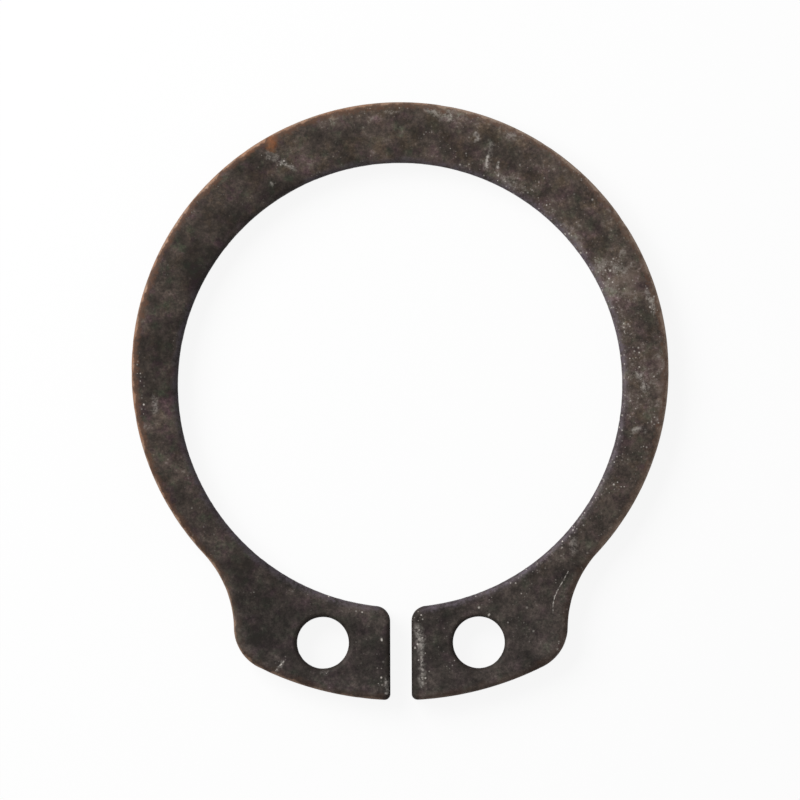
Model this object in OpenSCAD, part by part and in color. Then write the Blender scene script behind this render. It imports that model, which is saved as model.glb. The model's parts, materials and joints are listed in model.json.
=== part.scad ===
// External retaining ring, stamped from spring steel sheet, in its free state.
// It lies flat in XY with its lower face on z = 0. The origin is on the axis of the inner circle and the
// gap between the lugs points to -Y. All sizes are in millimetres.

/* [Beam] */
// Free diameter of the inner circle
inner_d = 18.5; // [17.9:0.05:19.1]
// Thickness of the sheet
thickness = 1.2; // [1:0.05:1.75]
// Radial width of the beam opposite the gap
beam_back = 2.53; // [2.2:0.01:2.9]
// Radial width that the eccentric beam tapers to on the gap's side
beam_front = 1.33; // [1.1:0.01:1.6]

/* [Lugs] */
// Radial height of the lugs beside the gap, from the inner circle
lug_height = 3.87; // [3.6:0.01:4.2]
// Width over both lugs
lug_span = 13.9; // [13.2:0.05:14.6]
// Radius of the arc along the lugs' outer edge
lug_arc_r = 13.3; // [11.5:0.1:16]
// Radius of the outer corner of each lug
lug_corner_r = 1.85; // [1.4:0.05:2.2]
// Radius of the hollow flank between beam and lug
flank_r = 4.7; // [3.8:0.1:6]

/* [Gap] */
// Width of the gap between the lugs
gap_w = 0.885; // [0.5:0.005:1.5]
// Radius of the gap's corners at the lugs' outer edge
gap_outer_r = 0.24; // [0.23:0.01:0.6]
// Radius of the gap's corners at the inner circle
gap_inner_r = 0.64; // [0.3:0.01:1]

/* [Plier holes] */
// Diameter of the holes
hole_d = 2.15; // [1.8:0.05:2.5]
// Distance between the hole centres
hole_spacing = 6.49; // [5.9:0.01:7]
// Distance of the hole centres from the lowest point of the lug arc, along Y
hole_margin = 2.4; // [2.2:0.01:2.6]

/* [Stamped edges] */
// Width of the rolled edge around the upper face, where the punch drew the sheet in
roll_w = 0.2; // [0.1:0.01:0.22]
// Depth of the rolled edge
roll_d = 0.16; // [0.08:0.01:0.22]
// Edge break around the lower face, where the burr was taken off
burr_break = 0.05; // [0.02:0.01:0.1]

/* [Hidden] */
$fa = 2;
$fs = 0.03;
// How far cutters run past the metal
past = 0.1;
// Neighbouring arcs of the outline overlap by this much
lap = 0.002;
// Angle at which the rolled edge's arc leaves the face or wall, in degrees
roll_leave = 5;

inner_r = inner_d / 2;
gap_x = gap_w / 2;
// Beam's outer circle: its centre sits off the axis, so the beam thins towards the gap
beam_c = [0, (beam_back - beam_front) / 2];
beam_r = inner_r + (beam_back + beam_front) / 2;
// Circle along the lugs' outer edge
lug_low = inner_r + lug_height;
lug_c = [0, lug_arc_r - lug_low];
// Circle of the right lug's outer corner, touching the lug arc from inside
corner_c = inside_at(lug_c, lug_arc_r - lug_corner_r + lap, lug_span / 2 - lug_corner_r);
// Circle of the right flank, touching the beam and the lug corner from outside
flank_c = meet(corner_c, lug_corner_r + flank_r, beam_c, beam_r + flank_r);
// Circles of the right lug's gap corners
gap_outer_c = inside_at(lug_c, lug_arc_r - gap_outer_r + lap, gap_x + gap_outer_r - lap);
gap_inner_c = inside_at([0, 0], inner_r + gap_inner_r - lap, gap_x + gap_inner_r - lap);
hole_c = [hole_spacing / 2, hole_margin - lug_low];
// Arc of the rolled edge, for a wall at x = 0 with metal at x < 0
roll_chord = [-roll_w, roll_d];
roll_slope = atan2(roll_d, roll_w);
roll_half = min(roll_slope, 90 - roll_slope) - roll_leave;
roll_r = norm(roll_chord) / 2 / sin(roll_half);
roll_c = [-roll_w, 2 * thickness - roll_d] / 2
    - [roll_d, roll_w] / norm(roll_chord) * roll_r * cos(roll_half);

// Lower point at the given x of the circle with centre c and radius r
function inside_at(c, r, x) = [x, c.y - sqrt(r * r - (x - c.x) ^ 2)];
// Point at ra from a and rb from b, to the left of the way from a to b
function meet(a, ra, b, rb) =
    let (
        way = b - a,
        far = norm(way),
        on = (far * far + ra * ra - rb * rb) / (2 * far),
        off = -sqrt(ra * ra - on * on)
    )
    a + (way * on + [-way.y, way.x] * off) / far;

// What stamping takes off the edges of a wall at x = 0 that has its metal at x < 0
module edges_off() {
    difference() {
        translate([-roll_w, thickness - roll_d])
            square([roll_w + past, roll_d + past]);
        translate(roll_c)
            circle(r = roll_r);
    }
    polygon([[-burr_break - past, -past], [past, burr_break + past], [past, -past]]);
}

// Section through an opening from its middle at x = 0 to its wall at x = r
module opening_section(r) {
    translate([0, -past])
        square([r, thickness + 2 * past]);
    translate([r, 0])
        mirror([1, 0])
            edges_off();
}

// Disc with stamped edges
module stamped_disc(r) {
    rotate_extrude()
        difference() {
            square([r, thickness]);
            translate([r, 0])
                edges_off();
        }
}

// Round opening with stamped edges, as a cutter
module stamped_hole(r) {
    rotate_extrude()
        opening_section(r);
}

module both_sides() {
    children();
    mirror([1, 0, 0])
        children();
}

// Sector of the lug arc's disc that reaches as far as the corner circles
module lug_sector() {
    side = (corner_c - lug_c) * 1.5;
    intersection() {
        translate(lug_c)
            stamped_disc(lug_arc_r);
        translate([0, 0, -past])
            linear_extrude(thickness + 2 * past)
                polygon([lug_c, lug_c + side, lug_c + [-side.x, side.y]]);
    }
}

// Web that joins the beam to the right lug, hollowed by the flank's circle
module flank() {
    difference() {
        linear_extrude(thickness)
            polygon([beam_c, flank_c, corner_c]);
        translate(flank_c)
            stamped_hole(flank_r + lap);
    }
}

// Cutter for the straight part of the gap
module gap_slot() {
    from = past + lug_low;
    translate([0, -from, 0])
        rotate([90, 0, 180])
            linear_extrude(from - inner_r + gap_inner_r + past)
                both_sides()
                    opening_section(gap_x);
}

// Cutter that rounds one corner of the gap; out is the unit way from the corner circle's centre
// through the point where it touches the ring's edge
module gap_corner(c, r, out) {
    reach = r + 5 * past;
    difference() {
        translate([0, 0, -past])
            linear_extrude(thickness + 2 * past)
                polygon([c, [gap_x / 2, c.y], [gap_x / 2, c.y + sign(out.y) * reach], c + out * reach]);
        translate(c)
            stamped_disc(r);
    }
}

module retaining_ring() {
    color([0.22, 0.2, 0.18])
        difference() {
            union() {
                translate(beam_c)
                    stamped_disc(beam_r);
                lug_sector();
                both_sides()
                    translate(corner_c)
                        stamped_disc(lug_corner_r);
                both_sides()
                    flank();
            }
            stamped_hole(inner_r);
            both_sides()
                translate(hole_c)
                    stamped_hole(hole_d / 2);
            gap_slot();
            both_sides()
                gap_corner(gap_outer_c, gap_outer_r, (gap_outer_c - lug_c) / norm(gap_outer_c - lug_c));
            both_sides()
                gap_corner(gap_inner_c, gap_inner_r, -gap_inner_c / norm(gap_inner_c));
        }
}

retaining_ring();
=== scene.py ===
"""External retaining ring, stamped from spring steel: its surface, its finish and a plain stage."""
import json
import math
from typing import NamedTuple

import bpy
import numpy as np
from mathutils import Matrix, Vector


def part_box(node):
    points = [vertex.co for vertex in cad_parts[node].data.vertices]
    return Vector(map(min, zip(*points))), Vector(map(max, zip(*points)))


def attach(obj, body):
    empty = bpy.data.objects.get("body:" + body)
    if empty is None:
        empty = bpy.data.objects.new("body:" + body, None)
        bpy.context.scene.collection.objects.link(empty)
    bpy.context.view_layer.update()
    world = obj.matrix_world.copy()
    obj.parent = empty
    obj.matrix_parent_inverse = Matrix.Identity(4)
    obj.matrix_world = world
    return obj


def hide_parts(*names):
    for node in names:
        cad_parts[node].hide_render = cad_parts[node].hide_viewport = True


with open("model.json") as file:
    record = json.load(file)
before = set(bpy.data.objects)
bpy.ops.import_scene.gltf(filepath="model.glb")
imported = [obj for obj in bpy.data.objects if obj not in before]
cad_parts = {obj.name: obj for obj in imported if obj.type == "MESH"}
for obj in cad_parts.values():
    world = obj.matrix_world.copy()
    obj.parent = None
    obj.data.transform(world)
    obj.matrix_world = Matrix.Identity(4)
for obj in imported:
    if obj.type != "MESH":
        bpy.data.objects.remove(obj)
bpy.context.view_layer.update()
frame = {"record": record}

bl_info = {
    "name": "External retaining ring",
    "version": (1, 0, 0),
    "blender": (4, 5, 0),
    "location": "3D View > Sidebar > Retaining ring",
    "description": "Builds a stamped external retaining ring with a dark phosphated finish",
    "category": "Add Mesh",
}

MM = 0.001
RING = "retaining_ring"
RING_LOW, RING_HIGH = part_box(RING)
MOUNTS = {mount["name"]: mount for mount in frame["record"]["mounts"]}
SEAT = MOUNTS["shaft_seat"]
PLIER_HOLE = MOUNTS["plier_hole_right"]
# The picture's side in pixels, and how many of them go to a millimetre of the ring
PICTURE_SIDE = 800
PIXELS_PER_MM = 24.03


# What a user can change


def length(name, description, default):
    """A length in metres."""
    return bpy.props.FloatProperty(
        name=name, description=description, default=default, min=0.0, precision=5, unit="LENGTH"
    )


def amount(name, description, default):
    """A share from nothing to one."""
    return bpy.props.FloatProperty(
        name=name, description=description, default=default, min=0.0, max=1.0, subtype="FACTOR"
    )


def position(name, description, default):
    """A place in metres, on either side of the origin."""
    return bpy.props.FloatProperty(name=name, description=description, default=default, unit="LENGTH")


def angle(name, description, degrees):
    """An angle, given in degrees."""
    return bpy.props.FloatProperty(
        name=name, description=description, default=math.radians(degrees), subtype="ANGLE"
    )


def linear(red, green, blue):
    """A colour as it reads on a screen, 0 to 255 each, made scene linear by the sRGB curve."""
    part = np.array([red, green, blue]) / 255.0
    return tuple(np.where(part <= 0.04045, part / 12.92, ((part + 0.055) / 1.055) ** 2.4).tolist())


def tint(name, description, red, green, blue):
    """A colour, given as it reads on a screen."""
    return bpy.props.FloatVectorProperty(
        name=name,
        description=description,
        default=linear(red, green, blue),
        size=3,
        min=0.0,
        max=1.0,
        subtype="COLOR",
    )


class RetainingRingSizes(bpy.types.PropertyGroup):
    """Sizes of the ring. It lies flat with its axis at the origin and its gap towards -Y."""

    inner_radius: length(
        "Inner radius", "Radius of the bore when the ring is free", SEAT["dims"]["r_mm"] * MM
    )
    thickness: length("Thickness", "Thickness of the strip", RING_HIGH.z - RING_LOW.z)
    beam_radius: length("Beam radius", "Outer radius of the crescent beam", RING_HIGH.x)
    beam_offset: length(
        "Beam offset", "How far the beam's outer circle sits off the bore's axis", RING_HIGH.y - RING_HIGH.x
    )
    lug_reach: length("Lug reach", "From the axis down to the lugs' outer arc", 13.12 * MM)
    lug_arc_radius: length("Lug arc radius", "Radius of the arc under both lugs", 13.3 * MM)
    lug_span: length("Lug span", "Width over both lugs", 13.9 * MM)
    lug_corner_radius: length("Lug corner radius", "Rounding of a lug's outer corner", 1.85 * MM)
    flank_radius: length("Flank radius", "Hollow between a lug and the beam", 4.7 * MM)
    gap_width: length("Gap", "Free space between the two lugs", 0.885 * MM)
    gap_outer_radius: length("Gap outer radius", "Rounding where the gap meets the lug arc", 0.24 * MM)
    gap_inner_radius: length("Gap inner radius", "Rounding where the gap meets the bore", 0.64 * MM)
    hole_radius: length("Hole radius", "Radius of a plier hole", PLIER_HOLE["dims"]["r_mm"] * MM)
    hole_across: length("Hole across", "From the middle of the gap to a hole's axis", PLIER_HOLE["pos_m"][0])
    hole_down: length("Hole down", "From the ring's axis down to a hole's axis", -PLIER_HOLE["pos_m"][1])
    roll_width: length("Roll width", "How far the rolled edge reaches over the face", 0.2 * MM)
    roll_depth: length("Roll depth", "How far the rolled edge reaches down the wall", 0.16 * MM)
    lead_width: length("Lead width", "Shallow dip of the face before the rolled edge", 0.36 * MM)
    lead_depth: length("Lead depth", "Depth of that dip at the wall", 0.05 * MM)
    burr_break: length("Burr break", "Broken lower edge", 0.05 * MM)
    spacing: length("Spacing", "Distance between points along the outline", 0.1 * MM)
    nick_depth: length("Nick depth", "Deepest wear along the edges", 0.012 * MM)
    wave_depth: length("Wave depth", "Deepest hollow in the stamped faces", 0.004 * MM)


class RetainingRingColours(bpy.types.PropertyGroup):
    """Colours of the finish, each as it reads under plain white light."""

    deep: tint("Deep", "Darkest blotches of the coating", 33, 28, 24)
    phosphate: tint("Phosphate", "Main dark brown of the coating", 57, 50, 45)
    haze: tint("Haze", "Dusty film where the ring was handled", 86, 75, 68)
    pale: tint("Pale", "Lightest dust", 128, 120, 113)
    tan: tint("Tan", "Soft tan film", 116, 101, 92)
    moss: tint("Moss", "Greenish grey blotches", 64, 69, 55)
    mauve: tint("Mauve", "Violet brown blotches", 95, 73, 77)
    umber: tint("Umber", "Warm brown blotches", 92, 78, 64)
    speck: tint("Speck", "Bare bright specks", 206, 198, 190)
    scuff: tint("Scuff", "Pale scuffs and scratches", 176, 170, 163)
    # Bronze is partly worn metal and partly a painted highlight of the rolled edge on the lamp's side.
    bronze: tint("Bronze", "Worn outer edge", 152, 124, 105)
    bare: tint("Bare", "Outer edge worn almost to bare steel", 147, 127, 113)
    brown: tint("Brown", "Rusty brown beside the worn edge", 86, 62, 49)
    rust: tint("Rust", "Rust on the outer edge", 140, 84, 46)
    plum: tint("Plum", "Violet black of the bore's edge", 64, 59, 65)
    slate: tint("Slate", "Cooler film over the lugs", 62, 58, 57)
    # Lilac is a painted highlight: the bore's edge where it faces the lamp.
    lilac: tint("Lilac", "Bore's edge where dust lies on it", 88, 80, 88)
    sheared: tint("Sheared", "Burnished upper part of the stamped wall", 78, 72, 68)
    torn: tint("Torn", "Rough lower part of the stamped wall", 50, 45, 42)


class RetainingRingStage(bpy.types.PropertyGroup):
    """Camera, lamps and floor."""

    frame_width: length(
        "Frame width", "Width of the picture at the ring's upper face", PICTURE_SIDE / PIXELS_PER_MM * MM
    )
    camera_height: length("Camera height", "Camera above the upper face", 0.8)
    aim_x: position("Aim across", "Middle of the picture, across", -0.006 * MM)
    aim_y: position("Aim along", "Middle of the picture, along", -0.62 * MM)
    camera_roll: angle("Camera roll", "Turn of the camera about its view", -0.18)
    sky: amount("Sky", "Soft light from all round", 0.26)
    lamp_power: bpy.props.FloatProperty(
        name="Lamp power", description="Power of the main lamp, watts", default=0.34, min=0.0, unit="POWER"
    )
    lamp_distance: length("Lamp distance", "From the ring to the main lamp", 0.17)
    lamp_size: length("Lamp size", "Side of the square lamp", 0.12)
    lamp_turn: angle("Lamp turn", "Side that the lamp stands on", 145)
    lamp_rise: angle("Lamp rise", "Height of the lamp over the horizon", 40)
    floor: tint("Floor", "Colour of the floor", 249, 249, 249)
    floor_glow: amount("Floor glow", "Share of plain white in the floor, the rest shows the shadow", 0.9)


# Marks on the upper face


class Mark(NamedTuple):
    """A mark on the upper face: from one point to another in millimetres, half its width and its strength."""

    start: tuple
    end: tuple
    width: float
    strength: float


SCRATCHES = (
    Mark((6.97, -7.78), (6.78, -8.12), 0.042, 0.5),
    Mark((6.78, -8.12), (6.58, -8.47), 0.046, 0.56),
    Mark((6.58, -8.47), (6.41, -8.8), 0.05, 0.6),
    Mark((6.41, -8.8), (6.34, -9.12), 0.046, 0.56),
    Mark((6.34, -9.12), (6.33, -9.5), 0.042, 0.46),
    Mark((7.9, -7.22), (7.54, -7.8), 0.045, 0.45),
    Mark((-4.86, -11.45), (-5.3, -12.0), 0.07, 0.7),
    Mark((3.6, -9.72), (3.68, -9.56), 0.09, 1.0),
    Mark((3.8, 10.1), (3.68, 9.5), 0.1, 0.24),
    Mark((3.67, 9.5), (3.63, 9.08), 0.17, 0.5),
    Mark((4.11, 9.24), (4.08, 8.93), 0.15, 0.42),
    Mark((0.84, -10.9), (0.89, -12.45), 0.13, 0.42),
    Mark((-0.82, -10.5), (-0.8, -10.62), 0.07, 0.9),
)
SMEARS = (
    Mark((-5.45, 9.58), (-4.9, 9.25), 0.22, 0.45),
    Mark((-4.98, 9.28), (-4.72, 9.16), 0.16, 0.8),
    Mark((-4.75, 9.18), (-4.42, 9.02), 0.18, 0.65),
    Mark((-5.36, 8.48), (-5.22, 8.42), 0.13, 0.5),
    Mark((3.82, 10.05), (3.62, 9.1), 0.22, 0.4),
    Mark((3.2, 10.42), (3.22, 10.2), 0.15, 0.7),
    Mark((1.3, 11.46), (1.72, 11.24), 0.3, 0.5),
    Mark((1.98, 11.4), (2.16, 11.1), 0.24, 0.5),
    Mark((-0.45, 11.36), (-0.02, 11.34), 0.15, 0.55),
    Mark((9.93, 0.42), (10.24, -0.14), 0.26, 0.85),
    Mark((9.7, -1.88), (10.16, -1.9), 0.24, 0.8),
    Mark((7.2, -6.45), (7.18, -6.95), 0.24, 0.5),
    Mark((0.66, -10.2), (0.86, -10.78), 0.3, 1.0),
    Mark((0.84, -10.9), (0.88, -12.5), 0.22, 0.45),
    Mark((-4.98, -11.55), (-5.2, -11.9), 0.16, 0.6),
    Mark((-0.58, -12.3), (-0.55, -12.85), 0.18, 1.0),
    Mark((-3.2, -11.95), (-3.1, -12.0), 0.16, 0.5),
    Mark((9.0, 4.85), (9.25, 4.7), 0.3, 0.6),
    Mark((-10.2, -0.45), (-10.2, -1.05), 0.2, 0.5),
    Mark((10.3, 3.8), (10.6, 2.9), 0.2, 0.6),
    Mark((4.2, 8.65), (5.15, 8.15), 0.24, 0.45),
)
SPECKLED = (
    Mark((4.1, 8.7), (5.2, 8.12), 0.3, 1.0),
    Mark((0.8, -10.3), (0.88, -12.65), 0.3, 1.0),
    Mark((0.82, -9.55), (0.9, -9.7), 0.36, 1.0),
    Mark((8.5, 4.65), (8.9, 4.3), 0.4, 1.0),
    Mark((10.25, 3.95), (10.62, 2.8), 0.34, 1.0),
    Mark((8.8, 4.1), (9.4, 2.4), 0.5, 0.9),
    Mark((8.3, 5.25), (9.45, 5.1), 0.3, 0.8),
    Mark((-5.55, 9.62), (-4.4, 9.0), 0.26, 1.0),
    Mark((9.7, 1.3), (10.1, 0.8), 0.4, 0.7),
    Mark((2.5, 10.9), (3.3, 10.2), 0.35, 0.25),
    Mark((3.6, 9.5), (4.1, 9.0), 0.4, 0.25),
    Mark((10.4, -1.7), (10.8, -1.75), 0.25, 1.0),
    Mark((6.1, -7.2), (6.45, -6.9), 0.3, 1.0),
    Mark((-10.85, 1.3), (-10.8, -2.2), 0.3, 0.7),
    Mark((9.0, 3.2), (9.2, 2.85), 0.4, 1.0),
    Mark((6.15, 7.3), (6.45, 7.0), 0.42, 1.0),
    Mark((5.6, 7.55), (5.8, 7.42), 0.22, 0.9),
    Mark((4.8, 8.38), (5.0, 8.26), 0.3, 1.0),
    Mark((8.62, -4.16), (9.4, -4.34), 0.22, 0.9),
    Mark((10.26, -2.66), (10.34, -2.9), 0.24, 1.0),
    Mark((4.5, -10.0), (4.62, -10.15), 0.22, 1.0),
    Mark((10.05, 1.9), (10.14, 1.7), 0.2, 1.0),
    Mark((-3.5, -8.85), (-3.1, -8.9), 0.35, 1.0),
    Mark((-4.85, -8.85), (-4.75, -8.85), 0.25, 1.0),
    Mark((-2.9, -9.0), (-1.2, -9.55), 0.3, 0.4),
    Mark((-0.85, -11.9), (-0.75, -12.7), 0.26, 0.8),
    Mark((-5.0, -11.4), (-5.2, -11.8), 0.22, 0.8),
    Mark((-3.1, -12.0), (-3.13, -12.35), 0.25, 0.6),
    Mark((-9.4, -3.1), (-7.8, -6.9), 0.7, 0.14),
)
TAN_CLOUDS = (
    Mark((9.0, 4.35), (9.7, 4.45), 0.5, 0.9),
    Mark((9.35, 4.55), (9.6, 3.9), 0.45, 0.7),
    Mark((10.98, 1.0), (10.95, -1.5), 0.25, 0.7),
)
RUST_SPOTS = (
    Mark((-5.36, 10.3), (-5.3, 9.92), 0.42, 1.0),
    Mark((-6.5, 9.62), (-6.15, 9.85), 0.2, 0.5),
)
DUSTY = (
    Mark((10.2, 0.4), (9.2, 4.6), 2.4, 0.16),
    Mark((-3.2, 10.2), (-4.6, 9.6), 2.0, 0.1),
    Mark((-10.2, -0.8), (-8.2, -6.2), 2.4, 0.19),
    Mark((-7.3, 8.3), (-9.2, 6.1), 0.9, 0.2),
    Mark((-9.2, 6.1), (-10.5, 2.6), 0.9, 0.14),
    Mark((-9.5, -3.1), (-9.2, -3.7), 0.8, 0.36),
    Mark((7.35, 5.95), (6.95, 6.4), 0.6, 0.26),
    Mark((4.3, 8.75), (5.3, 8.15), 0.7, 0.12),
    Mark((8.3, 5.1), (8.8, 4.6), 0.9, 0.25),
    Mark((9.4, 1.0), (8.6, 4.2), 0.5, 0.2),
    Mark((-1.0, 11.2), (0.4, 11.25), 0.7, 0.1),
    Mark((3.2, 10.8), (4.6, 10.2), 0.7, 0.13),
    Mark((0.9, 11.3), (2.4, 11.2), 0.8, 0.14),
    Mark((-6.4, -7.2), (-4.0, -8.8), 1.0, 0.15),
    Mark((-4.0, -8.45), (-1.3, -9.3), 0.7, 0.2),
    Mark((1.3, -11.9), (2.0, -11.95), 0.4, 0.1),
    Mark((-4.2, -12.1), (-2.2, -12.4), 0.8, 0.1),
    Mark((-7.3, -8.0), (-6.85, -10.2), 0.5, 0.36),
    Mark((-6.75, -10.6), (-5.8, -11.7), 0.5, 0.34),
    Mark((-5.8, -11.7), (-4.4, -12.35), 0.4, 0.15),
    Mark((0.9, -12.95), (2.8, -12.7), 0.4, 0.2),
    Mark((2.8, -12.7), (4.7, -12.15), 0.4, 0.2),
)
# Darker patches of the upper face: soot, and along the bore's left and upper left painted shade of the bore's
# edge that faces away from the lamp.
SOOT_AND_SHADE = (
    Mark((7.2, -5.8), (9.2, -3.8), 2.2, 0.08),
    Mark((5.6, 8.6), (1.2, 10.6), 2.4, 0.06),
    Mark((-6.4, 8.4), (-8.6, 6.0), 2.2, 0.05),
    Mark((-1.4, -10.2), (-1.2, -12.2), 1.4, 0.12),
    Mark((-4.4, 8.4), (-6.7, 6.7), 1.0, 0.2),
    Mark((-6.7, 6.7), (-8.4, 4.4), 1.0, 0.2),
    Mark((1.0, 10.4), (2.6, 10.1), 1.3, 0.22),
    Mark((8.1, 6.6), (6.4, 8.1), 0.9, 0.12),
    Mark((10.8, 0.5), (9.6, 5.4), 0.65, 0.1),
    Mark((9.1, -2.6), (9.3, -0.4), 0.5, 0.1),
    Mark((-9.5, 0.7), (-9.4, -0.8), 0.7, 0.1),
    Mark((5.6, -9.8), (1.6, -11.6), 3.0, 0.03),
    Mark((5.9, -8.9), (5.2, -11.2), 1.3, 0.1),
)


# The ring's surface

# Rows of the edge's section: the dip before the roll, the roll's points, the wall and the burr's break
LEAD_ROWS, ROLL_POINTS, WALL_ROWS, BURR_ROWS = 5, 11, 12, 2
# Rows over a face, from edge to edge of the beam and from a plier hole out to the lug's edge
BEAM_ROWS, LUG_ROWS = 12, 13
# Fewest steps of a stretch of the outline, and those of the gap's corners and of a plier hole's rim
FEWEST_STEPS, GAP_OUTER_STEPS, GAP_INNER_STEPS, HOLE_STEPS = 4, 10, 14, 160
# Where the sheet over the lug meets the sheet over the beam, as an angle on the bore
BORE_CUT = math.radians(-46)
# Angle at which the roll leaves the face and the wall
ROLL_LEAVE = math.radians(5)
# Least share of the lead, and where it starts to grow and over how much, in half widths of the gap
LEAST_LEAD, LEAD_FROM, LEAD_OVER = 0.06, 1.5, 12
HOLE_LEAD = 0.15
# Rows over which wear grows from the roll's start and fades to the lower face
WEAR_RISE, WEAR_FALL = 4.0, 3.0
# Shares of the thickness: the torn zone's upper end, and how softly it starts
TORN_TOP, TORN_FADE = 0.62, 0.12
# Points closer than this are one point, and points closer than this to a face's height are on it
MERGE_WITHIN, FACE_WITHIN = 1e-8, 1e-7
# Wavelength and random seed of each unevenness
NICK_WAVES, RUB_WAVES, TEAR_WAVES = (0.9 * MM, 3), (0.35 * MM, 5), (0.28 * MM, 7)
FACE_WAVES = (3.5 * MM, 11)
WANDER_WAVES = ((0.8 * MM, 17), (0.8 * MM, 19))
# How far a wide mark wanders, in millimetres
WANDER = 0.07
# Points of a path that are taken at a time
PATH_BATCH = 16


class Patch(NamedTuple):
    """A grid of points with, for each, the flat way into the metal and how much wear and tearing it takes."""

    points: np.ndarray
    inward: np.ndarray
    wear: np.ndarray
    torn: np.ndarray
    turned: bool


class Outline(NamedTuple):
    """The right half of the edge, clockwise from the back's outer edge round to the back's bore."""

    points: np.ndarray
    outward: np.ndarray
    lead: np.ndarray
    beam_end: int
    gap_start: int
    bore_start: int
    cut: int


def arc(centre, radius, start, end, count, side=1.0):
    """Points centre + radius (cos a, sin a) for angles a from start up to, not with, end.
    The way out of the metal is the same unit vector, or its opposite with side -1 in a hollow."""
    turn = np.linspace(start, end, count, endpoint=False)
    way = np.stack([np.cos(turn), np.sin(turn)], axis=1)
    return np.asarray(centre) + radius * way, side * way


def bearing(start, end):
    """Angle of the line from one point to another."""
    return math.atan2(end[1] - start[1], end[0] - start[0])


def below(circle, radius, across):
    """The lower point of a circle at a distance across: y = circle_y - sqrt(radius^2 - across^2)."""
    return np.array([across, circle[1] - math.sqrt(radius**2 - across**2)])


def right_meeting(first, first_radius, second, second_radius):
    """The right one of the two points where two circles meet."""
    line = second - first
    reach = np.hypot(*line)
    along = (reach**2 + first_radius**2 - second_radius**2) / (2 * reach)
    aside = math.sqrt(first_radius**2 - along**2)
    across = np.array([-line[1], line[0]]) / reach
    if across[0] < 0:
        across = -across
    return first + line / reach * along + across * aside


def smooth(share):
    """3 share^2 - 2 share^3, held between 0 and 1."""
    share = np.clip(share, 0.0, 1.0)
    return share * share * (3 - 2 * share)


def half_outline(s):
    """Tangent arcs from the back round to the back again: beam, hollow flank, lug corner, lug arc, gap
    corner, gap face, inner gap corner and bore. A neighbour's centre lies at the sum of both radii where
    a hollow meets a round, and at their difference where a small round lies in a large one."""
    origin = np.zeros(2)
    beam_c = np.array([0.0, s.beam_offset])
    lug_c = np.array([0.0, s.lug_arc_radius - s.lug_reach])
    corner_c = below(lug_c, s.lug_arc_radius - s.lug_corner_radius, s.lug_span / 2 - s.lug_corner_radius)
    flank_c = right_meeting(
        corner_c, s.lug_corner_radius + s.flank_radius, beam_c, s.beam_radius + s.flank_radius
    )
    edge_x = s.gap_width / 2
    gap_low = below(lug_c, s.lug_arc_radius - s.gap_outer_radius, edge_x + s.gap_outer_radius)
    gap_high = below(origin, s.inner_radius + s.gap_inner_radius, edge_x + s.gap_inner_radius)

    beam_last = bearing(beam_c, flank_c)
    lug_first = bearing(lug_c, corner_c)
    lug_last = bearing(lug_c, gap_low)
    bore_first = bearing(origin, gap_high)

    def steps(distance):
        return max(FEWEST_STEPS, round(distance / s.spacing))

    beam_steps = steps(s.beam_radius * (math.pi / 2 - beam_last))
    gap_steps = steps(gap_high[1] - gap_low[1])
    gap_y = np.linspace(gap_low[1], gap_high[1], gap_steps, endpoint=False)
    gap_face = np.stack([np.full(gap_steps, edge_x), gap_y], axis=1)
    flank_first = bearing(flank_c, beam_c)
    flank_last = bearing(flank_c, corner_c) % (2 * math.pi)
    corner_first = bearing(corner_c, flank_c)
    round_first = bearing(gap_high, origin)

    runs = [
        arc(beam_c, s.beam_radius, math.pi / 2, beam_last, beam_steps),
        arc(flank_c, s.flank_radius, flank_first, flank_last,
            steps(s.flank_radius * (flank_last - flank_first)), -1.0),
        arc(corner_c, s.lug_corner_radius, corner_first, lug_first,
            steps(s.lug_corner_radius * (corner_first - lug_first))),
        arc(lug_c, s.lug_arc_radius, lug_first, lug_last,
            steps(s.lug_arc_radius * (lug_first - lug_last))),
        arc(gap_low, s.gap_outer_radius, lug_last, -math.pi, GAP_OUTER_STEPS),
        (gap_face, np.tile([-1.0, 0.0], (gap_steps, 1))),
        arc(gap_high, s.gap_inner_radius, math.pi, round_first, GAP_INNER_STEPS),
        arc(origin, s.inner_radius, bore_first, BORE_CUT,
            steps(s.inner_radius * (BORE_CUT - bore_first)), -1.0),
        arc(origin, s.inner_radius, BORE_CUT, math.pi / 2, beam_steps, -1.0),
        (np.array([[0.0, s.inner_radius]]), np.array([[0.0, -1.0]])),
    ]
    ends = np.cumsum([len(points) for points, _ in runs]).tolist()
    beam_end, _, _, gap_start, _, _, bore_start, cut, _, _ = ends
    points = np.concatenate([points for points, _ in runs])
    outward = np.concatenate([outward for _, outward in runs])
    grown = smooth((points[:, 0] - LEAD_FROM * edge_x) / (LEAD_OVER * edge_x))
    beside_gap = points[:, 1] < -s.inner_radius / 2
    lead = np.where(beside_gap, LEAST_LEAD + (1 - LEAST_LEAD) * grown, 1.0)
    return Outline(points, outward, lead, beam_end, gap_start, bore_start, cut)


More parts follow.
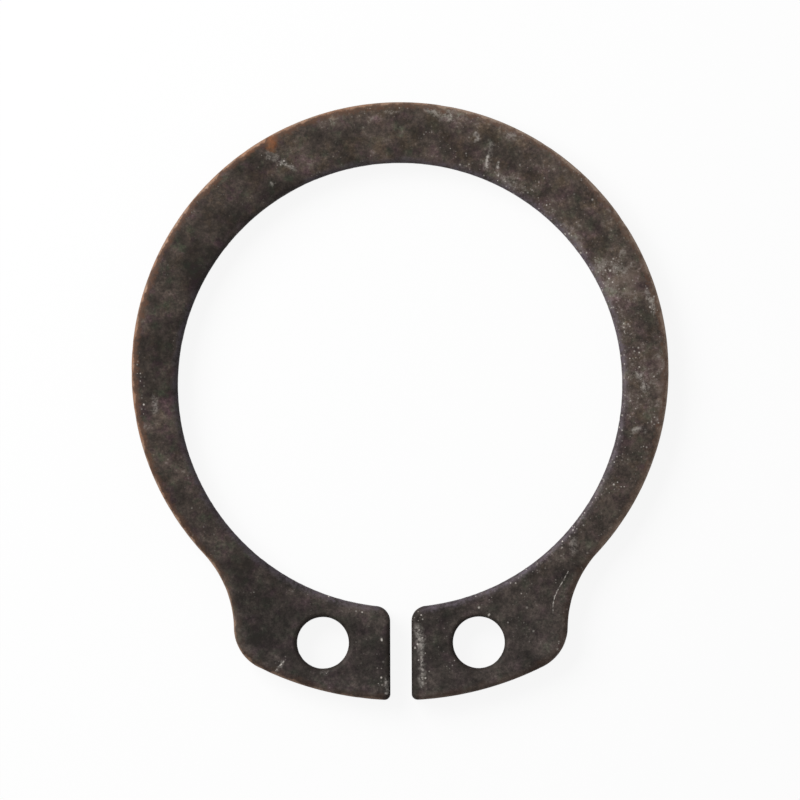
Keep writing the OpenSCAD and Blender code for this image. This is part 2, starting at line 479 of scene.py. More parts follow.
def edge_section(s, lead):
    """The stamped edge from the upper face to the lower one as (inset from the wall, height), for each
    share of the lead. The rolled edge is an arc on the chord from (roll_width, 0) to (0, roll_depth) below
    the face that leaves face and wall at ROLL_LEAVE. On the way to it the face dips by
    lead_depth * (1 - inset / width)^2. The straight wall follows, then the 45 degree break of the burr."""
    chord = math.hypot(s.roll_width, s.roll_depth)
    slope = math.atan2(s.roll_depth, s.roll_width)
    half = min(slope, math.pi / 2 - slope) - ROLL_LEAVE
    radius = chord / 2 / math.sin(half)
    middle = np.array([-s.roll_width, -s.roll_depth]) / 2
    centre = middle - np.array([s.roll_depth, s.roll_width]) / chord * radius * math.cos(half)
    turn = np.linspace(math.pi / 2 - slope + half, math.pi / 2 - slope - half, ROLL_POINTS)
    roll = centre + radius * np.stack([np.cos(turn), np.sin(turn)], axis=1)
    roll[0], roll[-1] = (-s.roll_width, 0.0), (0.0, -s.roll_depth)
    lead = np.asarray(lead)[:, None]
    width = s.roll_width + s.lead_width * lead
    reach = s.roll_width + s.lead_width * lead * np.linspace(1.0, 0.0, LEAD_ROWS, endpoint=False)
    ones = np.ones((len(lead), 1))
    inset = np.concatenate([reach, ones * -roll[:, 0]], axis=1)
    drop = np.concatenate([np.zeros(reach.shape), ones * -roll[:, 1]], axis=1)
    depth = s.lead_depth * lead
    drop = drop * (s.roll_depth - depth) / s.roll_depth + depth * (1 - inset / width) ** 2
    wall = np.linspace(s.thickness - s.roll_depth, s.burr_break, WALL_ROWS + 1)[1:]
    burr = np.linspace(0.0, s.burr_break, BURR_ROWS + 1)[1:]
    rest_inset = np.concatenate([np.zeros(len(wall)), burr])
    rest_height = np.concatenate([wall, s.burr_break - burr])
    return (
        np.concatenate([inset, ones * rest_inset], axis=1),
        np.concatenate([s.thickness - drop, ones * rest_height], axis=1),
    )


def face_rows(count):
    """Shares from 0 to 1 with close rows at both ends: (1 - cos(pi k / count)) / 2."""
    return 0.5 - 0.5 * np.cos(np.pi * np.arange(count + 1) / count)


def edge_band(points, outward, section, turned):
    """The edge's section carried along a path: point - outward * inset, at the section's heights. Wear
    grows from the roll's first row and fades to the last one."""
    inset, height = section
    flat = points[:, None, :] - outward[:, None, :] * inset[:, :, None]
    rows = np.arange(inset.shape[1])
    wear = np.clip(np.minimum((rows - LEAD_ROWS) / WEAR_RISE, (rows[-1] - rows) / WEAR_FALL), 0.0, 1.0)
    lower = np.clip((TORN_TOP - height / height.max()) / TORN_FADE, 0.0, 1.0)
    return Patch(
        np.concatenate([flat, height[:, :, None]], axis=2),
        np.broadcast_to(-outward[:, None, :], flat.shape),
        np.broadcast_to(wear, inset.shape),
        wear * lower,
        turned,
    )


def face_sheet(first, last, shares, height, turned):
    """Straight rules between two curves: first + share * (last - first), at one height."""
    flat = first[:, None, :] + shares[None, :, None] * (last - first)[:, None, :]
    nothing = np.zeros(flat.shape[:2])
    rise = np.full(flat.shape[:2] + (1,), height)
    return Patch(np.concatenate([flat, rise], axis=2), np.zeros(flat.shape), nothing, nothing, turned)


def right_patches(s, outline):
    """All surfaces of the right half: the edge, the plier hole's edge and both faces. A face is a sheet
    over the beam and a sheet from the hole's rim out to the lug's rim."""
    hole = np.array([s.hole_across, -s.hole_down])
    beam_rows, lug_rows = face_rows(BEAM_ROWS), face_rows(LUG_ROWS)
    patches = [edge_band(outline.points, outline.outward, edge_section(s, outline.lead), False)]
    hole_way = None
    for height, upper in ((s.thickness, True), (0.0, False)):
        inset = s.roll_width + s.lead_width * outline.lead[:, None] if upper else s.burr_break
        hole_inset = s.roll_width + s.lead_width * HOLE_LEAD if upper else s.burr_break
        rim = outline.points - outline.outward * inset
        beam_outer = rim[: outline.beam_end + 1]
        beam_bore = rim[outline.cut :][::-1]
        patches.append(face_sheet(beam_outer, beam_bore, beam_rows, height, upper))
        crossing = beam_outer[-1] + beam_rows[::-1, None] * (beam_bore[-1] - beam_outer[-1])
        loop = np.concatenate([rim[outline.beam_end : outline.cut], crossing])
        if hole_way is None:
            hole_way = loop - hole
            hole_way /= np.hypot(hole_way[:, 0], hole_way[:, 1])[:, None]
            section = edge_section(s, np.full(len(loop), HOLE_LEAD))
            patches.append(edge_band(hole + hole_way * s.hole_radius, -hole_way, section, True))
        hole_rim = hole + hole_way * (s.hole_radius + hole_inset)
        patches.append(face_sheet(hole_rim, loop, lug_rows, height, not upper))
    return patches


def joined(patches):
    """Every patch and its mirror image as one list of points, quads and point values. The quad of a grid
    runs i, i + 1, then j + 1, or the other way where the patch is turned or mirrored."""
    columns, quads, start = [], [], 0
    for mirror in (1.0, -1.0):
        for patch in patches:
            across, down = patch.points.shape[:2]
            index = start + np.arange(across * down).reshape(across, down)
            quad = np.stack([index[:-1, :-1], index[1:, :-1], index[1:, 1:], index[:-1, 1:]], axis=-1)
            quad = quad.reshape(-1, 4)
            quads.append(quad[:, ::-1] if patch.turned != (mirror < 0) else quad)
            column = np.concatenate(
                [patch.points, patch.inward, patch.wear[..., None], patch.torn[..., None]], axis=2
            ).reshape(-1, 7)
            columns.append(column * np.array([mirror, 1, 1, mirror, 1, 1, 1]))
            start += across * down
    column, quads = np.concatenate(columns), np.concatenate(quads)
    rounded = np.round(column[:, :3] / MERGE_WITHIN)
    _, first, place = np.unique(rounded, axis=0, return_index=True, return_inverse=True)
    return column[first], place.reshape(-1)[quads]


def swell(points, wavelength, seed, waves=28):
    """An even, seamless field in space: a sum of plane waves of about one wavelength in random directions,
    scaled to a spread of one."""
    chance = np.random.default_rng(seed)
    way = chance.normal(size=(waves, 3))
    way /= np.linalg.norm(way, axis=1)[:, None]
    pace = 2 * np.pi / wavelength * chance.uniform(0.7, 1.4, waves)
    phase = chance.uniform(0, 2 * np.pi, waves)
    return np.cos(points @ (way * pace[:, None]).T + phase).sum(axis=1) * math.sqrt(2 / waves)


def worn(s, column):
    """Small wear, always into the metal. Along the edges, nicks take three quarters of nick_depth where a
    slow field rises past 0.9 of its spread, and a finer field rubs off the rest. A third field tears the
    lower wall, and a slow one makes hollows of up to wave_depth in both faces that end at their edges."""
    points, inward = column[:, :3].copy(), column[:, 3:5]
    wear, torn = column[:, 5], column[:, 6]
    nicks = np.clip(swell(points, *NICK_WAVES) - 0.9, 0.0, 1.4) / 1.4
    rub = np.clip(0.3 + 0.25 * swell(points, *RUB_WAVES), 0.0, 0.6)
    tear = np.clip(0.5 + 0.3 * swell(points, *TEAR_WAVES), 0.0, 1.0)
    depth = wear * s.nick_depth * (0.75 * nicks + 0.25 * rub) + torn * 0.9 * s.nick_depth * tear
    points[:, :2] += inward * depth[:, None]
    middle = s.thickness / 2
    on_face = np.abs(np.abs(points[:, 2] - middle) - middle) < FACE_WITHIN
    hollow = s.wave_depth * np.clip(0.5 + 0.3 * swell(points, *FACE_WAVES), 0.0, 1.0)
    points[:, 2] -= np.where(on_face, np.sign(points[:, 2] - middle) * hollow * (wear == 0), 0.0)
    return points


def nearest(points, path):
    """Flat distance from each point to the nearest point of a path, in millimetres, so that a material
    can follow an edge. The path is taken a few points at a time, to save memory."""
    best = np.full(len(points), np.inf)
    side = np.abs(points[:, 0])
    for start in range(0, len(path), PATH_BATCH):
        part = path[start : start + PATH_BATCH]
        gap = (side[:, None] - part[:, 0]) ** 2 + (points[:, 1:2] - part[:, 1]) ** 2
        best = np.minimum(best, gap.min(axis=1))
    return np.sqrt(best) / MM


def laid(s, points, listed, sign=1.0):
    """How strongly wide marks lie on each point of the upper face: the strength of a mark times
    smooth(1 - distance / width), where distance is taken to the line from start to end. The stronger mark
    wins. The points wander a little, so that no mark is straight."""
    flat = points[:, :2] / MM
    flat = flat + WANDER * np.stack([swell(points, *waves) for waves in WANDER_WAVES], axis=1)
    start = np.array([mark.start for mark in listed])
    line = np.array([mark.end for mark in listed]) - start
    width = np.array([mark.width for mark in listed])
    strength = np.array([mark.strength for mark in listed])
    away = flat[:, None, :] - start
    share = np.clip((away * line).sum(axis=2) / (line * line).sum(axis=1), 0.0, 1.0)
    distance = np.linalg.norm(away - share[:, :, None] * line, axis=2)
    upper = points[:, 2] > s.thickness / 2
    return sign * upper * (strength * smooth(1 - distance / width)).max(axis=1)


def ring_mesh(s):
    """The whole ring as one closed mesh, with the distances to its four kinds of edge and its wide marks."""
    outline = half_outline(s)
    column, quads = joined(right_patches(s, outline))
    points = worn(s, column)
    mesh = bpy.data.meshes.new(RING + "_surface")
    mesh.from_pydata(points, [], quads)
    hole = np.array([s.hole_across, -s.hole_down])
    hole_rim, _ = arc(hole, s.hole_radius, 0.0, 2 * math.pi, HOLE_STEPS)
    edges = {
        "outer_edge": outline.points[: outline.gap_start],
        "gap_edge": outline.points[outline.gap_start : outline.bore_start],
        "bore_edge": outline.points[outline.bore_start :],
        "hole_edge": hole_rim,
    }
    values = {name: nearest(column[:, :2], path) for name, path in edges.items()}
    values["tone_shift"] = laid(s, points, DUSTY) + laid(s, points, SOOT_AND_SHADE, -1.0)
    values["tan_cloud"] = laid(s, points, TAN_CLOUDS)
    values["speckled"] = laid(s, points, SPECKLED)
    for name, value in values.items():
        layer = mesh.attributes.new(name, "FLOAT", "POINT")
        layer.data.foreach_set("value", value.astype(np.float32))
    mesh.polygons.foreach_set("use_smooth", np.ones(len(mesh.polygons), dtype=bool))
    mesh.update()
    if mesh.validate(verbose=False):
        raise RuntimeError("the ring's surface has faces that can't stand")
    return mesh


# The finish

# Where the coating's tone starts, before its noises lift it into the ramp's range of 0 to 1
TONE_BASE = -1.487


class Finish:
    """Puts nodes into a node tree. Each call returns the output that it made."""

    def __init__(self, tree):
        self.tree = tree

    def add(self, kind, inputs=(), output=0, **settings):
        """A node with its inputs linked or set, and its settings."""
        node = self.tree.nodes.new(kind)
        for name, value in settings.items():
            setattr(node, name, value)
        for key, value in dict(inputs).items():
            if isinstance(value, bpy.types.NodeSocket):
                self.tree.links.new(value, node.inputs[key])
            else:
                node.inputs[key].default_value = value
        return node.outputs[output]

    def close(self, kind, surface):
        """Ends the tree with an output node."""
        self.tree.links.new(surface, self.tree.nodes.new(kind).inputs["Surface"])

    def math(self, operation, first, second=0.0, clamp=False):
        return self.add("ShaderNodeMath", {0: first, 1: second}, operation=operation, use_clamp=clamp)

    def vector(self, operation, first, second=(0.0, 0.0, 0.0), output=0):
        return self.add("ShaderNodeVectorMath", {0: first, 1: second}, output, operation=operation)

    def scaled(self, vector, factor):
        """A vector times a number."""
        return self.add("ShaderNodeVectorMath", {0: vector, 3: factor}, operation="SCALE")

    def ease(self, value, low, high, start=0.0, end=1.0):
        """Eases from start to end as the value goes from low to high."""
        return self.add(
            "ShaderNodeMapRange",
            {0: value, 1: low, 2: high, 3: start, 4: end},
            interpolation_type="SMOOTHSTEP",
            clamp=True,
        )

    def blend(self, share, first, second, mode="MIX"):
        """Lays a share of the second colour over the first one."""
        first, second = (
            shade if isinstance(shade, bpy.types.NodeSocket) else (*shade, 1.0) for shade in (first, second)
        )
        return self.add(
            "ShaderNodeMix",
            {0: share, 6: first, 7: second},
            2,
            data_type="RGBA",
            blend_type=mode,
            clamp_factor=True,
        )

    def times(self, product, *others):
        """The product of several values."""
        for other in others:
            product = self.math("MULTIPLY", product, other)
        return product

    def total(self, parts, start=0.0):
        """start plus every value times its weight."""
        for value, weight in parts:
            start = self.add("ShaderNodeMath", {0: value, 1: weight, 2: start}, operation="MULTIPLY_ADD")
        return start

    def most(self, values):
        """The largest of several values."""
        best = values[0]
        for value in values[1:]:
            best = self.math("MAXIMUM", best, value)
        return best


def stroke_group():
    """A node group that lays a soft mark between two points over what was there before. The distance from
    p to the line a to b is |p - a - clamp((p - a).(b - a) / |b - a|^2) (b - a)|, and the mark fades out
    smoothly at its half width. The stronger of both stays."""
    group = bpy.data.node_groups.new("face mark", "ShaderNodeTree")
    face = group.interface
    given = (("Before", "Float"), ("Point", "Vector"), ("Start", "Vector"), ("Line", "Vector"),
             ("Width", "Float"), ("Strength", "Float"))
    for name, kind in given:
        face.new_socket(name, in_out="INPUT", socket_type="NodeSocket" + kind)
    face.new_socket("Most", in_out="OUTPUT", socket_type="NodeSocketFloat")
    f = Finish(group)
    start = group.nodes.new("NodeGroupInput").outputs
    away = f.vector("SUBTRACT", start["Point"], start["Start"])
    along = f.vector("DOT_PRODUCT", away, start["Line"], 1)
    square = f.vector("DOT_PRODUCT", start["Line"], start["Line"], 1)
    share = f.math("DIVIDE", along, square, True)
    foot = f.scaled(start["Line"], share)
    gap = f.vector("DISTANCE", away, foot, 1)
    mark = f.times(f.ease(gap, 0.0, start["Width"], 1.0, 0.0), start["Strength"])
    end = group.nodes.new("NodeGroupOutput")
    group.links.new(f.math("MAXIMUM", mark, start["Before"]), end.inputs["Most"])
    return group


class SteelFinish(Finish):
    """Layers of the steel's finish, from the coating up. Each layer takes the colour below it and returns
    the colour with itself on top, and its own wear where a later layer needs it. A place is in
    millimetres, and an edge's value is the distance to it. Every noise is read at an offset of its own,
    so that no two patterns agree."""

    def __init__(self, tree, s, c):
        super().__init__(tree)
        self.c = c
        self.top = s.thickness / MM
        self.wall_top = (s.thickness - s.roll_depth) / MM
        place = self.add("ShaderNodeTexCoord", (), "Object")
        self.point = self.scaled(place, 1 / MM)
        apart = tree.nodes.new("ShaderNodeSeparateXYZ")
        tree.links.new(self.point, apart.inputs[0])
        self.across, self.along, self.height = apart.outputs
        self.outer, self.bore = self.held("outer_edge"), self.held("bore_edge")
        self.gap, self.hole = self.held("gap_edge"), self.held("hole_edge")
        # smears and rust spots wander a little, so that none is straight
        drift = self.vector("SUBTRACT", self.noise(2.6, 3.0, 0.65, output=1), (0.5, 0.5, 0.5))
        self.wandering = self.vector("ADD", self.point, self.vector("MULTIPLY", drift, (0.5, 0.5, 0.0)))
        self.tone_shift = self.held("tone_shift")
        self.blotch = self.noise(0.95, 4.0, 0.62, (11.0, 4.0, 2.0))
        self.crumb = self.noise(3.2, 4.0, 0.7, (15.0, 16.0, 17.0))
        self.grain = self.noise(8.5, 4.0, 0.75, (5.0, 6.0, 7.0))
        self.ragged = self.ease(self.noise(2.2, 4.0, 0.65, (61.0, 13.0, 9.0)), 0.25, 0.75, -0.07, 0.07)
        self.stroke = stroke_group()

    def held(self, name):
        """A value that the mesh holds for each point."""
        return self.add("ShaderNodeAttribute", (), "Fac", attribute_name=name, attribute_type="GEOMETRY")

    def noise(self, scale, detail, roughness, offset=(0.0, 0.0, 0.0), output=0):
        """Noise of so many waves to a millimetre."""
        where = self.vector("ADD", self.point, offset)
        return self.add(
            "ShaderNodeTexNoise",
            {"Vector": where, "Scale": scale, "Detail": detail, "Roughness": roughness},
            output,
            noise_dimensions="3D",
        )

    def specks(self, scale, share, size, offset):
        """Round specks, one in a cell at most: share is how many cells have one, size its radius in
        cells."""
        where = self.vector("ADD", self.point, offset)
        cell = {"Vector": where, "Scale": scale, "Randomness": 1.0}
        distance = self.add("ShaderNodeTexVoronoi", cell, "Distance", feature="F1")
        colour = self.add("ShaderNodeTexVoronoi", cell, "Color", feature="F1")
        chance = self.add("ShaderNodeSeparateColor", {0: colour}, 0)
        large = self.add("ShaderNodeSeparateColor", {0: colour}, 1)
        radius = self.times(self.ease(large, 0.0, 1.0, 0.45, 1.0), size)
        spot = self.ease(self.math("DIVIDE", distance, radius), 0.1, 1.0, 1.0, 0.0)
        return self.times(spot, self.ease(chance, 0.0, share, 1.0, 0.0))

    def marks(self, listed, where):
        """The strongest of the listed marks on the upper face."""
        before = 0.0
        for mark in listed:
            start, end = np.array([*mark.start, self.top]), np.array([*mark.end, self.top])
            one = {"Before": before, "Point": where, "Start": start.tolist(), "Line": (end - start).tolist(),
                   "Width": mark.width, "Strength": mark.strength}
            before = self.add("ShaderNodeGroup", one, "Most", node_tree=self.stroke)
        return before

    def coating(self):
        """The coating's tone, from blotches of a few millimetres down to its grain, lighter towards the right
        and the back, which is partly dust and partly a painted sheen of the lamp's light, and then its hues,
        which keep that tone."""
        c = self.c
        cloud = self.noise(0.36, 3.0, 0.55, (3.1, 1.7, 0.0))
        dab = self.ease(self.noise(1.7, 3.0, 0.6, (45.0, 3.0, 9.0)), 0.52, 0.76)
        # The lean across and along makes the right and the back lighter: partly dust, partly a painted sheen
        # of the lamp's light.
        tone = self.total([
            (self.across, 0.0195), (self.along, 0.008), (cloud, 0.95), (self.blotch, 1.05), (dab, 0.2),
            (self.crumb, 0.8), (self.grain, 1.05), (self.tone_shift, 1.0),
        ], TONE_BASE)
        ramp = self.tree.nodes.new("ShaderNodeValToRGB")
        self.tree.links.new(tone, ramp.inputs[0])
        stops = ((0.1, c.deep), (0.42, c.phosphate), (0.73, c.haze), (1.0, c.pale))
        for _ in stops[2:]:
            ramp.color_ramp.elements.new(0.5)
        for element, (spot, shade) in zip(ramp.color_ramp.elements, stops):
            element.position, element.color = spot, (*shade, 1.0)
        colour = ramp.outputs[0]

        green = self.noise(1.9, 4.0, 0.65, (23.0, 9.0, 5.0))
        violet = self.noise(1.7, 4.0, 0.65, (37.0, 21.0, 8.0))
        warm = self.noise(1.5, 4.0, 0.65, (29.0, 33.0, 6.0))
        warm = self.total([(self.along, 0.006)], warm)
        hued = self.ease(self.across, -7.0, 6.0, 1.0, 0.66)
        for share, shade in (
            (self.times(self.ease(green, 0.48, 0.74, 0.0, 0.85), hued), c.moss),
            (self.times(self.ease(violet, 0.46, 0.72), hued), c.mauve),
            (self.ease(warm, 0.5, 0.74, 0.0, 0.8), c.umber),
            (self.ease(self.along, -4.0, -12.0, 0.0, 0.36), c.slate),
        ):
            colour = self.blend(share, colour, shade, "COLOR")
        return colour

    def face_marks(self, colour):
        """Tan clouds, then smears broken up by the grain, and scratches. Returns the scratches too."""
        c = self.c
        tan = self.times(self.held("tan_cloud"), self.ease(self.crumb, 0.3, 0.65, 0.3, 1.0), 0.75)
        colour = self.blend(tan, colour, c.tan)
        patchy = self.total([(self.crumb, 0.55), (self.grain, 0.6)], -0.08)
        patchy = self.ease(patchy, 0.4, 0.62, 0.03, 0.85)
        smear = self.times(self.marks(SMEARS, self.wandering), patchy)
        broken = self.ease(self.noise(9.0, 2.0, 0.6, (2.0, 31.0, 3.0)), 0.4, 0.6)
        broken = self.ease(broken, 0.0, 1.0, 0.12, 1.0)
        scratch = self.times(self.ease(self.marks(SCRATCHES, self.point), 0.05, 0.7), broken)
        return self.blend(self.most([scratch, smear]), colour, c.scuff), scratch

    def outer_edge(self, colour):
        """The outer edge: a brown stain, a bronze lip that is partly worn coating and partly a painted
        highlight on the back and the left, the side that faces the lamp, bare on the right, and rust on the
        left of the back. Returns the wear and the rust too."""
        c = self.c
        rim = self.math("ADD", self.outer, self.ragged)
        crumbly_rim = self.math("ADD", rim, self.ease(self.crumb, 0.32, 0.68, -0.07, 0.07))
        rust_side = self.ease(self.total([(self.along, 1.0), (self.across, -2.2)]), 0.0, 22.0)
        bare_side = self.times(self.ease(self.across, -2.0, 5.0), self.ease(self.along, -9.0, -5.0))
        wear = self.ease(self.total([(self.crumb, 0.1)], rim), 0.05, 0.17, 1.0, 0.0)

        stain = self.times(
            self.ease(crumbly_rim, 0.1, 0.36, 1.0, 0.0),
            self.ease(rust_side, 0.0, 1.0, 0.25, 0.85),
            self.ease(self.grain, 0.35, 0.65, 0.6, 1.15),
        )
        colour = self.blend(stain, colour, c.brown)
        bare = self.times(
            self.ease(crumbly_rim, 0.0, 0.28, 1.0, 0.0),
            bare_side,
            self.ease(self.crumb, 0.32, 0.6, 0.3, 0.9),
        )
        colour = self.blend(bare, colour, c.bare)
        seam = self.times(
            self.ease(crumbly_rim, 0.06, 0.14),
            self.ease(crumbly_rim, 0.16, 0.3, 1.0, 0.0),
            self.ease(self.grain, 0.42, 0.58, 0.1, 0.75),
            self.ease(self.along, -7.0, 0.0),
        )
        colour = self.blend(seam, colour, c.brown)
        # Painted highlight: the bronze lip is strongest on the back and the left, the side that faces the
        # lamp; the rest of it is worn coating.
        highlight_side = self.ease(self.total([(self.along, 1.0), (self.across, -1.0)]), -18.0, -4.0, 0.1, 0.9)
        lip = self.blend(bare_side, c.bronze, c.bare)
        off_lugs = self.ease(self.along, -9.0, -7.0, 0.7, 1.0)
        colour = self.blend(self.times(wear, highlight_side, off_lugs), colour, lip)

        patch = self.ease(self.noise(1.3, 4.0, 0.6, (71.0, 17.0, 3.0)), 0.42, 0.66)
        film = self.times(wear, rust_side, patch, 0.4)
        spots = self.ease(self.marks(RUST_SPOTS, self.wandering), 0.0, 1.0)
        rust = self.most([film, self.times(spots, self.ease(self.crumb, 0.35, 0.65, 0.2, 0.65))])
        return self.blend(rust, colour, c.rust), wear, rust

    def inner_edges(self, colour):
        """The bore's edge, violet, lighter lilac on the side that faces the lamp as a painted highlight, and
        the dark edges of the gap and the plier holes. Returns the bore's wear too."""
        c = self.c
        wear = self.ease(self.math("ADD", self.bore, self.ragged), 0.02, 0.36, 1.0, 0.0)
        # Painted highlight: the bore's edge turns lighter towards the right and the lugs, where it faces the
        # lamp.
        lamp_facing_side = self.ease(self.total([(self.across, 1.0), (self.along, -0.35)]), -9.0, 5.0)
        tinge = self.blend(lamp_facing_side, c.plum, c.lilac)
        rough_rim = self.ease(self.total([(self.grain, 0.6), (self.crumb, 0.4)]), 0.4, 0.6, 0.15, 1.0)
        # Keeps the bore's tint off the soot and off the painted shade along the bore's upper left.
        clear_of_soot_and_shade = self.ease(self.tone_shift, -0.2, -0.02, 0.3, 1.0)
        colour = self.blend(self.times(wear, rough_rim, clear_of_soot_and_shade), colour, tinge)
        gap_wear = self.ease(self.math("ADD", self.gap, self.ragged), 0.02, 0.24, 1.0, 0.0)
        hole_wear = self.ease(self.math("ADD", self.hole, self.ragged), 0.02, 0.2, 1.0, 0.0)
        dark = self.times(self.most([gap_wear, hole_wear]), 0.5)
        return self.blend(dark, colour, c.deep), wear

    def bare_specks(self, colour):
        """Bare specks, more of them on the right, by the bore and in the speckled places."""
        by_bore = self.times(self.ease(self.bore, 0.05, 0.9, 1.0, 0.0), self.ease(self.across, 0.0, 8.0))
        crowd = self.noise(0.8, 3.0, 0.6, (51.0, 43.0, 4.0))
        crowd = self.total([(self.across, 0.01), (self.along, 0.003), (by_bore, 0.28)], crowd)
        crowd = self.ease(crowd, 0.44, 0.8, 0.04, 1.0)
        quiet = self.ease(self.math("ABSOLUTE", self.math("ADD", self.along, 1.7)), 1.2, 2.8, 0.2, 1.0)
        bore_band = self.times(
            self.ease(self.bore, 0.15, 0.5, 1.0, 0.0), self.ease(self.across, 3.5, 7.0), quiet
        )
        fine = self.times(
            self.specks(9.0, 0.6, 0.42, (1.0, 2.0, 0.3)), self.ease(self.crumb, 0.4, 0.62, 0.25, 1.0)
        )
        coarse = self.specks(4.0, 0.2, 0.3, (7.0, 3.0, 0.6))
        spread = self.times(self.most([fine, coarse]), self.most([crowd, bore_band]))
        dense = self.specks(6.5, 0.85, 0.4, (3.0, 8.0, 0.9))
        dense = self.times(dense, self.most([self.ease(self.held("speckled"), 0.0, 0.5), bore_band]))
        return self.blend(self.most([spread, dense]), colour, self.c.speck)

    def stamped_wall(self, colour):
        """The wall that the punch left: burnished above, torn below. Returns the torn share too."""
        c = self.c
        edge = self.math("MINIMUM", self.outer, self.bore)
        edge = self.math("MINIMUM", edge, self.math("MINIMUM", self.gap, self.hole))
        below_roll = self.ease(self.height, self.wall_top - 0.06, self.wall_top + 0.02, 1.0, 0.0)
        wall = self.times(self.ease(edge, 0.015, 0.05, 1.0, 0.0), below_roll)
        wavy = self.math("ADD", self.height, self.ease(self.blotch, 0.3, 0.7, -0.1, 0.1))
        tear = self.ease(wavy, 0.52 * self.top, 0.6 * self.top, 1.0, 0.0)
        streak = self.ease(self.noise(6.0, 3.0, 0.6, (81.0, 5.0, 0.0)), 0.35, 0.65, 0.0, 0.5)
        burnished = self.blend(streak, c.sheared, c.deep)
        torn = self.blend(self.ease(self.grain, 0.35, 0.65, 0.0, 0.5), c.torn, c.umber)
        return self.blend(wall, colour, self.blend(tear, burnished, torn)), self.times(wall, tear)


def phosphated_steel(s, c):
    """Dark phosphated spring steel, with the metal showing through where the coating is worn."""
    material = bpy.data.materials.new("phosphated spring steel")
    material.use_nodes = True
    material.node_tree.nodes.clear()
    f = SteelFinish(material.node_tree, s, c)
    colour = f.coating()
    colour, scratch = f.face_marks(colour)
    colour, outer_wear, rust = f.outer_edge(colour)
    colour, bore_wear = f.inner_edges(colour)
    colour = f.bare_specks(colour)
    colour, torn = f.stamped_wall(colour)

    metal = f.most([f.times(outer_wear, 0.35), f.times(bore_wear, 0.25), f.times(scratch, 0.4)])
    rough = f.ease(f.grain, 0.3, 0.7, 0.52, 0.7)
    rough = f.total([(f.most([outer_wear, bore_wear]), -0.12), (torn, 0.15)], rough)
    relief = f.total([(f.grain, 1.0), (f.crumb, 0.9), (scratch, -0.6), (rust, 0.7)])
    bump = f.add("ShaderNodeBump", {"Height": relief, "Strength": 0.6, "Distance": 0.012 * MM})
    shader = f.add(
        "ShaderNodeBsdfPrincipled",
        {"Base Color": colour, "Metallic": metal, "Roughness": rough, "Normal": bump,
         "Specular IOR Level": 0.12},
    )
    f.close("ShaderNodeOutputMaterial", shader)
    return material


class OBJECT_OT_retaining_ring(bpy.types.Operator):
    """Build the ring: one closed stamped surface with its worn phosphated finish"""

    bl_idname = "object.retaining_ring"
    bl_label = "Retaining ring"
    bl_options = {"REGISTER", "UNDO"}

    def execute(self, context):
        sizes = context.scene.retaining_ring_sizes
        ring = bpy.data.objects.new("stamped_ring", ring_mesh(sizes))
        ring.data.materials.append(phosphated_steel(sizes, context.scene.retaining_ring_colours))
        context.scene.collection.objects.link(ring)
        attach(ring, "root")
        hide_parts(RING)
        return {"FINISHED"}


# The stage

# Half the floor's side, and how far it lies under the ring
FLOOR_REACH, FLOOR_DROP = 1.5, 0.02 * MM
# The camera's sensor in millimetres, and the nearest and farthest that it sees in metres
SENSOR_WIDTH, SEES_FROM, SEES_TO = 36.0, 0.01, 10.0
WHITE = (1.0, 1.0, 1.0, 1.0)


def white_seen(f, share):
    """The share of plain white that camera, glossy and transmission rays see."""
    ray = f.tree.nodes.new("ShaderNodeLightPath").outputs
    return f.times(f.most([ray["Is Camera Ray"], ray["Is Glossy Ray"], ray["Is Transmission Ray"]]), share)


def floor_sheet(t):
    """A square floor just under the ring."""
    corner = np.array([[-1, -1], [1, -1], [1, 1], [-1, 1]]) * FLOOR_REACH
    level = np.full(len(corner), RING_LOW.z - FLOOR_DROP)
    mesh = bpy.data.meshes.new("floor_sheet")
    mesh.from_pydata(np.column_stack([corner, level]), [], [(0, 1, 2, 3)])
    material = bpy.data.materials.new("pale floor")
    material.use_nodes = True
    material.node_tree.nodes.clear()
    f = Finish(material.node_tree)
    lit = f.add("ShaderNodeBsdfDiffuse", {"Color": (*t.floor, 1.0)})
    white = f.add("ShaderNodeEmission", {"Color": WHITE, "Strength": 1.0})
    surface = f.add("ShaderNodeMixShader", {0: white_seen(f, t.floor_glow), 1: lit, 2: white})
    f.close("ShaderNodeOutputMaterial", surface)
    mesh.materials.append(material)
    floor = bpy.data.objects.new("pale_floor", mesh)
    bpy.context.scene.collection.objects.link(floor)


def soft_sky(t):
    """Even light from all round, seen as white."""
    world = bpy.data.worlds.new("soft sky")
    world.use_nodes = True
    world.node_tree.nodes.clear()
    f = Finish(world.node_tree)
    dim = f.add("ShaderNodeBackground", {"Color": WHITE, "Strength": t.sky})
    white = f.add("ShaderNodeBackground", {"Color": WHITE, "Strength": 1.0})
    surface = f.add("ShaderNodeMixShader", {0: white_seen(f, 1.0), 1: dim, 2: white})
    f.close("ShaderNodeOutputWorld", surface)
    bpy.context.scene.world = world


def main_lamp(t):
    """A square lamp that looks at the ring from one side."""
    way = np.array([
        math.cos(t.lamp_turn) * math.cos(t.lamp_rise),
        math.sin(t.lamp_turn) * math.cos(t.lamp_rise),
        math.sin(t.lamp_rise),
    ])
    lamp = bpy.data.lights.new("main_lamp", "AREA")
    lamp.shape, lamp.size, lamp.energy = "SQUARE", t.lamp_size, t.lamp_power
    holder = bpy.data.objects.new("main_lamp", lamp)
    holder.location = way * t.lamp_distance
    holder.rotation_euler = (math.pi / 2 - t.lamp_rise, 0.0, t.lamp_turn + math.pi / 2)
    bpy.context.scene.collection.objects.link(holder)


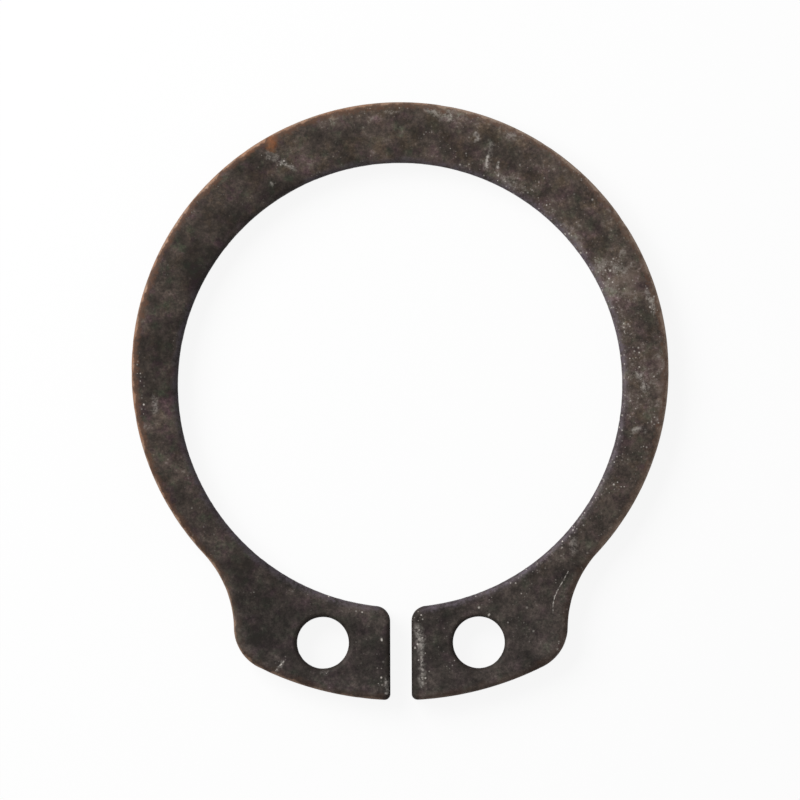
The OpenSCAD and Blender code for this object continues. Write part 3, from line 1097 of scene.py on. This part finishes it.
def straight_down_camera(t):
    """A camera straight above the ring, rolled a little about its view, with the lens
    sensor width * height / frame width."""
    camera = bpy.data.cameras.new("camera")
    camera.sensor_width = SENSOR_WIDTH
    camera.lens = camera.sensor_width * t.camera_height / t.frame_width
    camera.clip_start, camera.clip_end = SEES_FROM, SEES_TO
    holder = bpy.data.objects.new("camera", camera)
    holder.location = (t.aim_x, t.aim_y, RING_HIGH.z + t.camera_height)
    holder.rotation_euler = (0.0, 0.0, t.camera_roll)
    bpy.context.scene.collection.objects.link(holder)
    bpy.context.scene.camera = holder


class SCENE_OT_retaining_ring_stage(bpy.types.Operator):
    """Set out the floor, the light and the camera"""

    bl_idname = "scene.retaining_ring_stage"
    bl_label = "Stage"
    bl_options = {"REGISTER", "UNDO"}

    def execute(self, context):
        stage = context.scene.retaining_ring_stage
        context.scene.view_settings.view_transform = "Standard"
        floor_sheet(stage)
        soft_sky(stage)
        main_lamp(stage)
        straight_down_camera(stage)
        return {"FINISHED"}


class VIEW3D_PT_retaining_ring(bpy.types.Panel):
    """Sizes, colours and the stage of the retaining ring"""

    bl_label = "Retaining ring"
    bl_space_type = "VIEW_3D"
    bl_region_type = "UI"
    bl_category = "Retaining ring"

    def draw(self, context):
        scene = context.scene
        for operator, group in (
            (OBJECT_OT_retaining_ring, scene.retaining_ring_sizes),
            (OBJECT_OT_retaining_ring, scene.retaining_ring_colours),
            (SCENE_OT_retaining_ring_stage, scene.retaining_ring_stage),
        ):
            box = self.layout.box()
            for name in group.__annotations__:
                box.prop(group, name)
            box.operator(operator.bl_idname)


CLASSES = (
    RetainingRingSizes,
    RetainingRingColours,
    RetainingRingStage,
    OBJECT_OT_retaining_ring,
    SCENE_OT_retaining_ring_stage,
    VIEW3D_PT_retaining_ring,
)


def register():
    for cls in CLASSES:
        bpy.utils.register_class(cls)
    bpy.types.Scene.retaining_ring_sizes = bpy.props.PointerProperty(type=RetainingRingSizes)
    bpy.types.Scene.retaining_ring_colours = bpy.props.PointerProperty(type=RetainingRingColours)
    bpy.types.Scene.retaining_ring_stage = bpy.props.PointerProperty(type=RetainingRingStage)


def unregister():
    del bpy.types.Scene.retaining_ring_stage
    del bpy.types.Scene.retaining_ring_colours
    del bpy.types.Scene.retaining_ring_sizes
    for cls in reversed(CLASSES):
        bpy.utils.unregister_class(cls)


def main():
    register()
    bpy.ops.object.retaining_ring()
    bpy.ops.scene.retaining_ring_stage()


if __name__ == "__main__":
    main()
